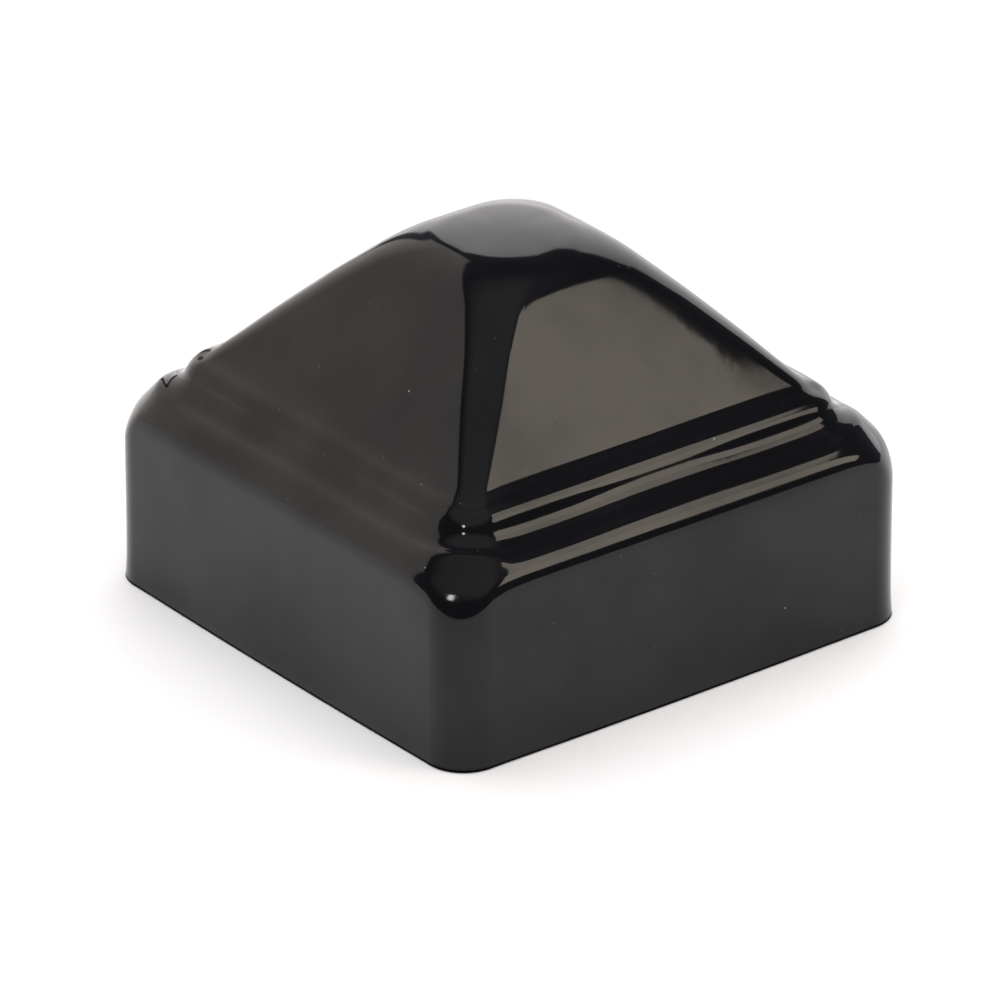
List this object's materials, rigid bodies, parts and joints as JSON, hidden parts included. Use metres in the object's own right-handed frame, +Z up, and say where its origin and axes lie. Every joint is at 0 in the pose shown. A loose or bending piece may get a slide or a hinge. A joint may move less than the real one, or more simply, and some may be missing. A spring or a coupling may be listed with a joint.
{
  "type": "square fence post cap",
  "caption": "Black coated pressed-steel pyramid cap that pushes over a square fence post and grips it with spring clips inside.",
  "frame": {"origin": "centre of the open rim, in the plane of the rim", "axes": "+Z up through the centre of the pyramid's flat top; X and Y square to the four sides of the skirt"},
  "size_m": [0.055, 0.055, 0.0386],
  "materials": {
    "coating": "high-gloss black coating with fine ripple",
    "spring_steel": "satin"
  },
  "bodies": {
    "cap": {"cap_shell": "coating"},
    "clip_right": {"grip_clip_right": "spring_steel"},
    "clip_back": {"grip_clip_back": "spring_steel"},
    "clip_left": {"grip_clip_left": "spring_steel"},
    "clip_front": {"grip_clip_front": "spring_steel"}
  },
  "joints": [
    {"name": "clip_right_flex", "type": "hinge", "parent": "cap", "child": "clip_right", "pos_m": [0.026, 0, 0.0052], "axis": [0, 1, 0], "range_deg": [0, 6], "stiffness_Nm_per_rad": 8},
    {"name": "clip_back_flex", "type": "hinge", "parent": "cap", "child": "clip_back", "pos_m": [0, 0.026, 0.0052], "axis": [-1, 0, 0], "range_deg": [0, 6], "stiffness_Nm_per_rad": 8},
    {"name": "clip_left_flex", "type": "hinge", "parent": "cap", "child": "clip_left", "pos_m": [-0.026, 0, 0.0052], "axis": [0, -1, 0], "range_deg": [0, 6], "stiffness_Nm_per_rad": 8},
    {"name": "clip_front_flex", "type": "hinge", "parent": "cap", "child": "clip_front", "pos_m": [0, -0.026, 0.0052], "axis": [1, 0, 0], "range_deg": [0, 6], "stiffness_Nm_per_rad": 8}
  ]
}
